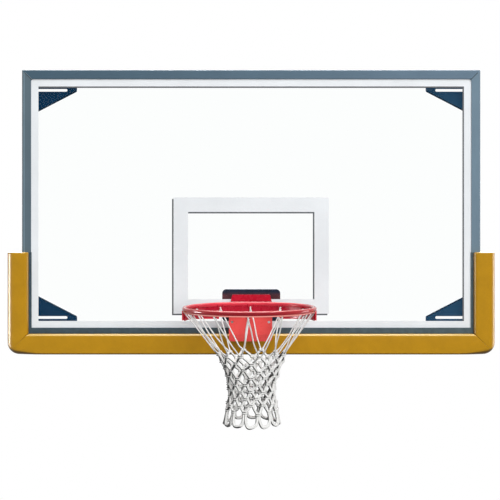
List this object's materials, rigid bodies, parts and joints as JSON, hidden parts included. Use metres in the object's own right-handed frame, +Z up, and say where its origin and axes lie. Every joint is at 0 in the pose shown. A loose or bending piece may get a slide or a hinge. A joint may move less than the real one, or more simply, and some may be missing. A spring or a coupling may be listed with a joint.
{
  "type": "basketball backboard",
  "caption": "Framed glass basketball backboard with printed border and target, padded lower edge, breakaway goal with a net, and slotted corner gussets for mounting.",
  "frame": {"origin": "centre of the four corner slots, on the rear plane of the frame and gussets", "axes": "+Z up, +X along the board's width, +Y out of the rear plane towards the support, with the play side at -Y"},
  "size_m": [1.9428, 0.6703, 1.3509],
  "materials": {
    "frame_paint": "satin powder coat",
    "key_aluminium": "mill finish",
    "seal_rubber": "matt black rubber",
    "glass": "clear tempered glass",
    "stripe_print": "white fired print",
    "gusset_paint": "satin powder coat",
    "zinc_steel": "zinc plated",
    "pad_foam": "moulded skin over foam, fine pebble",
    "goal_paint": "gloss powder coat",
    "front_paint": "gloss powder coat",
    "pin_steel": "ground steel",
    "bush_bronze": "oiled bronze",
    "spring_steel": "black oiled spring wire",
    "net_cord": "white braided cord"
  },
  "bodies": {
    "board": {"frame_top": "frame_paint", "frame_right": "frame_paint", "frame_bottom": "frame_paint", "frame_left": "frame_paint", "corner_keys": "key_aluminium", "pad_strips": "key_aluminium", "glazing_seal": "seal_rubber", "front_gasket": "seal_rubber", "rear_gasket": "seal_rubber", "glass_grommets": "seal_rubber", "glass_panel": "glass", "border_stripe": "stripe_print", "target_stripe": "stripe_print", "gusset_top_left": "gusset_paint", "gusset_top_right": "gusset_paint", "gusset_bottom_left": "gusset_paint", "gusset_bottom_right": "gusset_paint", "rear_goal_plate": "gusset_paint", "gusset_screws": "zinc_steel", "pad_screws": "zinc_steel", "goal_bolts": "zinc_steel", "goal_washers": "zinc_steel", "goal_nuts": "zinc_steel", "pin_washers": "zinc_steel", "pin_clips": "zinc_steel", "pad_left": "pad_foam", "pad_right": "pad_foam", "pad_bottom_left": "pad_foam", "pad_bottom_right": "pad_foam", "goal_base_plate": "goal_paint", "hinge_cheeks": "goal_paint", "spring_seat": "goal_paint", "pivot_pin": "pin_steel", "breakaway_spring": "spring_steel"},
    "rim": {"hinge_lugs": "goal_paint", "top_plate": "goal_paint", "ring": "goal_paint", "ring_brace": "goal_paint", "net_loops": "goal_paint", "spring_cup": "goal_paint", "front_plate": "front_paint", "pivot_bushes": "bush_bronze", "net": "net_cord"}
  },
  "joints": [
    {"name": "rim_breakaway", "type": "hinge", "parent": "board", "child": "rim", "pos_m": [0, -0.0897, -0.41], "axis": [1, 0, 0], "range_deg": [0, 30], "stiffness_Nm_per_rad": 500, "springref_deg": -34.38, "deforming": ["breakaway_spring"]}
  ]
}
